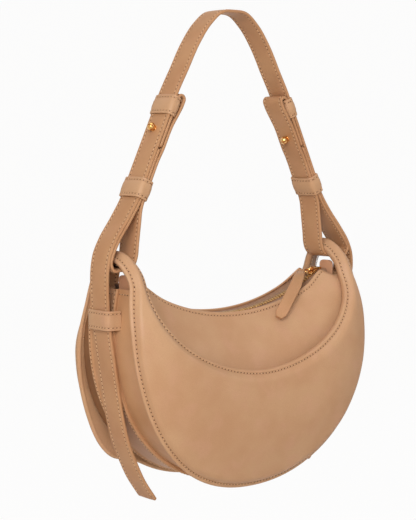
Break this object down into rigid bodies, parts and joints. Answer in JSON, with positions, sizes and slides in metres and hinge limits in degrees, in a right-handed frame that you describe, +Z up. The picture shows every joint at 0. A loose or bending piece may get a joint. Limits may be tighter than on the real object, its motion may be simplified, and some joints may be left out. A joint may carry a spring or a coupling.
{
  "type": "half moon shoulder bag",
  "caption": "Half moon shoulder bag of smooth tan leather: padded front and back crescents, zipped pouch between them, belted gusset, and a looped shoulder strap with keepers and ball studs.",
  "frame": {"origin": "middle of the underside of the strap's crown, where a hook or a shoulder carries the bag", "axes": "+Z up along the hanging bag, its longest extent; X from side to side, +X to the right seen from the front; the front crescent faces -Y, and Y is the shortest extent"},
  "size_m": [0.2798, 0.1124, 0.4061],
  "materials": {
    "tan_leather": "satin",
    "foam": "matte",
    "lining_cloth": "matte",
    "zip_tape": "matte",
    "stiffener_board": "matte",
    "gold": "polished"
  },
  "bodies": {
    "strap": {"shoulder_strap": "tan_leather", "loop_strap_left": "tan_leather", "loop_strap_right": "tan_leather", "upper_keeper_left": "tan_leather", "upper_keeper_right": "tan_leather", "outer_stud_left": "gold", "outer_stud_right": "gold", "inner_stud_left": "gold", "inner_stud_right": "gold"},
    "bag": {"front_crescent": "tan_leather", "front_padding": "foam", "front_backing": "tan_leather", "back_crescent": "tan_leather", "back_padding": "foam", "back_backing": "tan_leather", "left_arch": "tan_leather", "right_arch": "tan_leather", "front_gusset_band": "tan_leather", "middle_gusset_band": "tan_leather", "back_gusset_band": "tan_leather", "front_panel": "tan_leather", "back_panel": "tan_leather", "front_lining": "lining_cloth", "back_lining": "lining_cloth", "gusset_lining": "lining_cloth", "slip_pocket": "lining_cloth", "base_stiffener": "stiffener_board", "zip_tape_front": "zip_tape", "zip_tape_back": "zip_tape", "zip_teeth_front": "gold", "zip_teeth_back": "gold", "zip_stops": "gold", "zip_end_tab_left": "tan_leather", "zip_end_tab_right": "tan_leather", "strap_tail_left": "tan_leather", "strap_tail_right": "tan_leather", "belt_loop_left": "tan_leather", "belt_loop_right": "tan_leather"},
    "lower_keeper_left": {"lower_keeper_left": "tan_leather"},
    "lower_keeper_right": {"lower_keeper_right": "tan_leather"},
    "slider": {"zip_slider": "gold"},
    "ring": {"pull_ring": "gold"},
    "pull": {"leather_pull": "tan_leather"}
  },
  "joints": [
    {"name": "strap_swing", "type": "hinge", "parent": "strap", "child": "bag", "pos_m": [0, 0, -0.21299], "axis": [1, 0, 0], "range_deg": [-15, 15]},
    {"name": "keeper_slide_left", "type": "slide", "parent": "strap", "child": "lower_keeper_left", "axis": [0.4274, 0, 0.9041], "range_m": [0, 0.018]},
    {"name": "keeper_slide_right", "type": "slide", "parent": "strap", "child": "lower_keeper_right", "axis": [-0.4274, 0, 0.9041], "range_m": [0, 0.018]},
    {"name": "zip_slide", "type": "hinge", "parent": "bag", "child": "slider", "pos_m": [0, 0, -0.04938], "axis": [0, 1, 0], "range_deg": [0, 34]},
    {"name": "ring_flip", "type": "hinge", "parent": "slider", "child": "ring", "pos_m": [0.10198, 0, -0.22349], "axis": [0, 1, 0], "range_deg": [0, 50]},
    {"name": "pull_lift", "type": "hinge", "parent": "ring", "child": "pull", "pos_m": [0.09109, 0, -0.22509], "axis": [0, 1, 0], "range_deg": [0, 70]}
  ]
}
